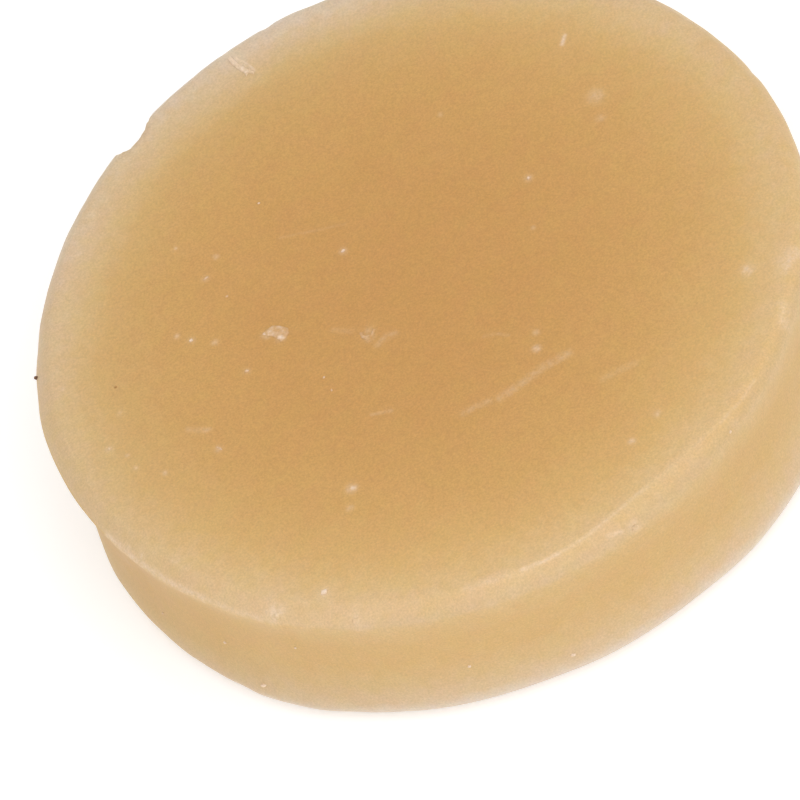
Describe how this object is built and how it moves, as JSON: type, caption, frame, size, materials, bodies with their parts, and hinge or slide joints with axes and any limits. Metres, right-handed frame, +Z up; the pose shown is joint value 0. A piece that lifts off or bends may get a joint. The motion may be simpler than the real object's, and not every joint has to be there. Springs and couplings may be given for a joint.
{
  "type": "shaving soap puck",
  "caption": "Round translucent amber shaving soap puck with a soft edge band, waisted side, chipped rim, stuck soap flakes and crumbs",
  "frame": {"origin": "centre of the flat base, on the surface that the puck lies on", "axes": "+Z up along the puck's axis; the chip in the rim is 117 degrees round from +X towards +Y"},
  "size_m": [0.0728, 0.0728, 0.0157],
  "materials": {
    "amber_soap": "cast translucent glycerine soap, satin, amber in the middle and milky cream towards the rim",
    "pale_soap": "dry whitish soap, matt and slightly translucent",
    "dark_grit": "dark brown grain, matt"
  },
  "bodies": {
    "root": {"soap_body": "amber_soap", "large_soap_flake": "pale_soap", "curled_soap_flake": "pale_soap", "rim_shaving": "pale_soap", "face_crumbs": "pale_soap", "rim_crumbs": "pale_soap", "side_crumbs": "pale_soap", "dark_grit": "dark_grit"}
  },
  "joints": []
}
